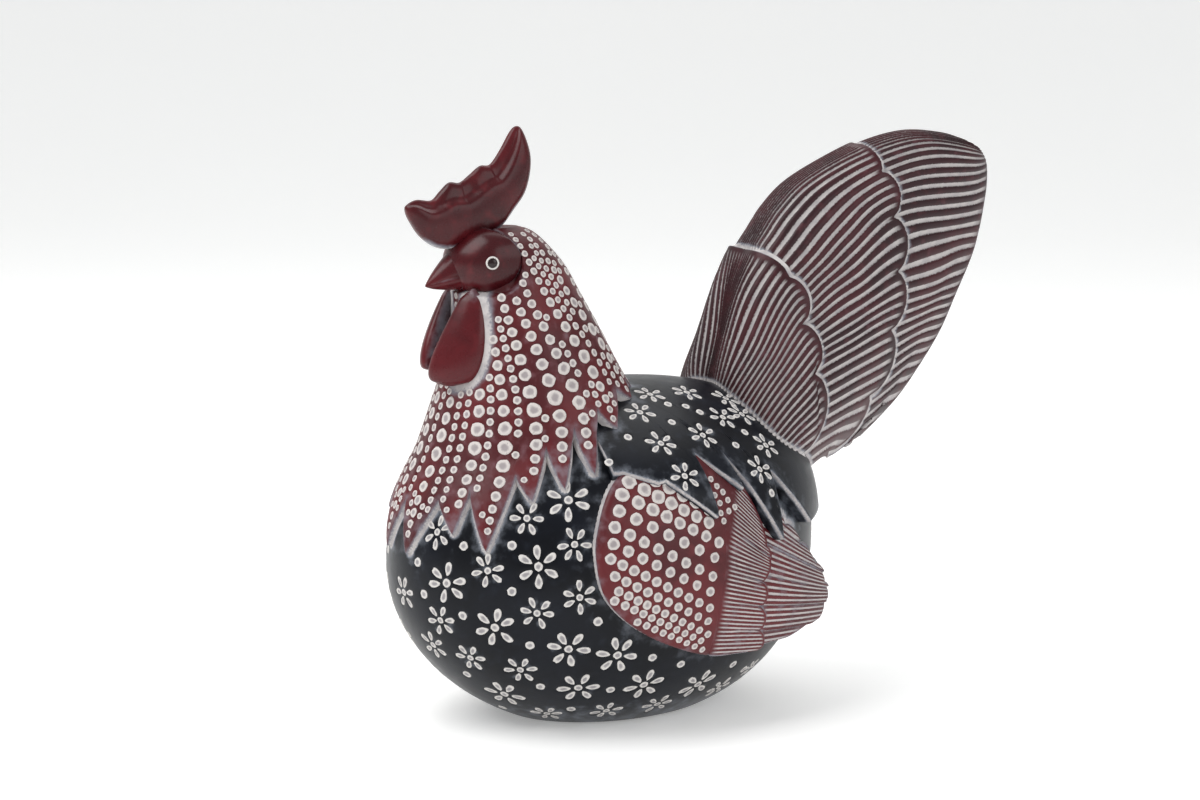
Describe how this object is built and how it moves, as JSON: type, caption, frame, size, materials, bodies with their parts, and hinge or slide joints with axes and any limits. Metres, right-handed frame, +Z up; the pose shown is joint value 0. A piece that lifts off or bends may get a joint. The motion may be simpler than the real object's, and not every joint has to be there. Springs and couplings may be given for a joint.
{
  "type": "folk rooster ornament",
  "caption": "Sitting rooster ornament with a rounded body, folded wings, a dotted neck hackle, a crescent comb and a tall fanned tail in layers.",
  "frame": {"origin": "under the middle of the body, on the plane that the felt pad stands on", "axes": "+Z up, the bird faces -Y, and its left side is +X"},
  "size_m": [0.1422, 0.2752, 0.2373],
  "materials": {
    "felt": "matte",
    "plate_wood": "matte",
    "plug_rubber": "matte",
    "dowel_wood": "matte",
    "navy_casting": "satin",
    "maroon_casting": "satin",
    "face_casting": "satin",
    "comb_casting": "gloss",
    "eye_enamel": "gloss"
  },
  "bodies": {
    "root": {"felt_pad": "felt", "base_plate": "plate_wood", "vent_plug": "plug_rubber", "body_shell": "navy_casting", "neck_plug": "dowel_wood", "neck_hackle": "maroon_casting", "head": "face_casting", "head_dowel": "dowel_wood", "beak": "face_casting", "comb": "comb_casting", "comb_dowels": "dowel_wood", "left_wattle": "comb_casting", "right_wattle": "comb_casting", "left_eye": "eye_enamel", "right_eye": "eye_enamel", "left_wing_coverts": "maroon_casting", "right_wing_coverts": "maroon_casting", "left_wing_flights": "maroon_casting", "right_wing_flights": "maroon_casting", "wing_dowels": "dowel_wood", "saddle_hackle": "navy_casting", "tail_core": "maroon_casting", "tail_mid_tier": "maroon_casting", "tail_inner_tier": "maroon_casting", "tail_dowels": "dowel_wood"}
  },
  "joints": []
}
